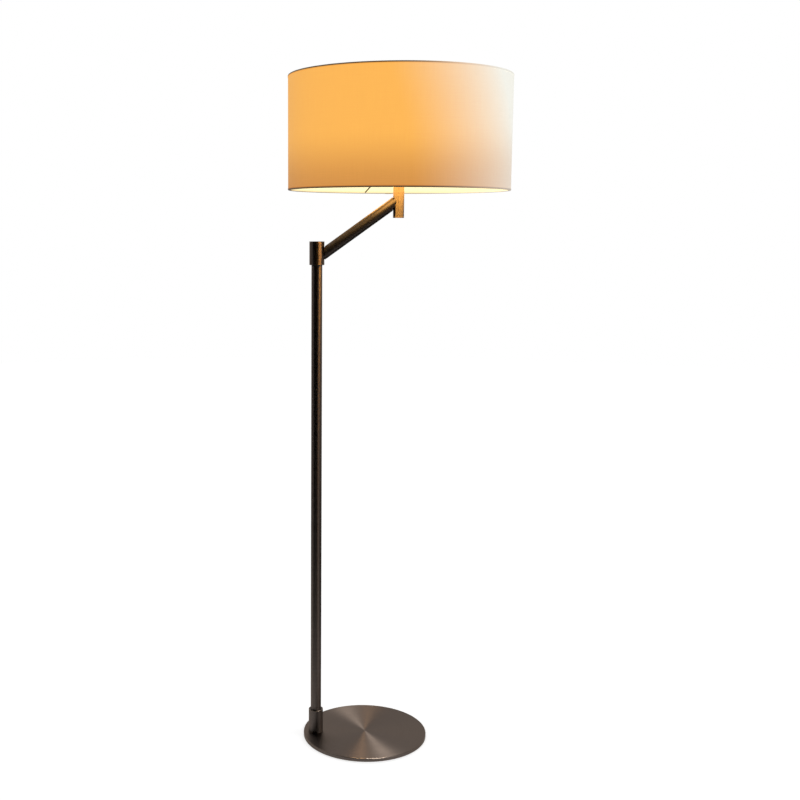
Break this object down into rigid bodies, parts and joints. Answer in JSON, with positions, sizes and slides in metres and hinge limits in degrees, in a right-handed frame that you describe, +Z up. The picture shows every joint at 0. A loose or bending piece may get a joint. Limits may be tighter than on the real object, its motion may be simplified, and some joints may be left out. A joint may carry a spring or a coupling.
{
  "type": "bridge floor lamp",
  "caption": "Floor lamp with a round base, an offset pole, a slanted arm that swivels on the pole, and a wide drum shade on a recessed carrier.",
  "frame": {"origin": "centre of the round base, on the floor", "axes": "+Z up, +X from the pole along the arm towards the shade at rest, +Y to the lamp's back"},
  "size_m": [0.5079, 0.508, 1.574],
  "materials": {
    "bronzed_steel": "brushed, dark bronzed nickel, clear lacquer",
    "zinc_steel": "zinc plated",
    "brass": "plain",
    "black_plastic": "satin black",
    "black_rubber": "matt",
    "foam_pad": "matt closed-cell pad",
    "white_ceramic": "unglazed",
    "lit_glass": "frosted inside",
    "filament": "glowing mount",
    "cream_liner": "pale translucent liner",
    "linen_fabric": "fine plain weave, lit from inside",
    "hem_fabric": "narrow folded hem"
  },
  "bodies": {
    "stand": {"base_pad": "foam_pad", "base_plate": "bronzed_steel", "cable_grommet": "black_rubber", "base_washer": "zinc_steel", "base_nut": "zinc_steel", "base_nipple": "zinc_steel", "pole_foot_plug": "zinc_steel", "pole_tube": "bronzed_steel", "foot_collar": "bronzed_steel", "collar_bush": "black_plastic", "collar_grub_screw": "zinc_steel", "pole_top_plug": "zinc_steel", "swivel_spindle": "zinc_steel", "stop_pin": "zinc_steel", "swivel_ring": "black_plastic", "spring_washer": "zinc_steel", "spindle_nut": "zinc_steel"},
    "head": {"hub_body": "bronzed_steel", "hub_cap": "bronzed_steel", "arm_hub_nipple": "zinc_steel", "arm_hub_plug": "bronzed_steel", "arm_tube": "bronzed_steel", "arm_stem_plug": "bronzed_steel", "arm_stem_nipple": "zinc_steel", "saddle_washer": "zinc_steel", "saddle_nut": "zinc_steel", "stem_tube": "bronzed_steel", "stem_end_cap": "bronzed_steel", "stem_top_plug": "zinc_steel", "holder_nipple": "zinc_steel", "holder_nut": "zinc_steel", "holder_cap": "black_plastic", "holder_shell": "black_plastic", "switch_block": "white_ceramic", "screw_shell": "brass", "centre_contact": "brass", "bulb_base": "brass", "bulb_glass": "lit_glass", "bulb_filament": "filament", "shade_carrier": "zinc_steel", "shade_clamp_ring": "black_plastic", "shade_top_wire": "zinc_steel", "shade_liner": "cream_liner", "shade_fabric": "linen_fabric", "shade_bottom_hem": "hem_fabric", "shade_top_hem": "hem_fabric"},
    "knob": {"switch_shaft": "brass", "switch_knob": "black_plastic"}
  },
  "joints": [
    {"name": "arm_swivel", "type": "hinge", "parent": "stand", "child": "head", "pos_m": [-0.1204, 0, 1.1505], "axis": [0, 0, 1], "range_deg": [-160, 160]},
    {"name": "switch_turn", "type": "hinge", "parent": "head", "child": "knob", "pos_m": [0.0669, 0.0207, 1.36224], "axis": [0, 1, 0], "continuous": true}
  ]
}
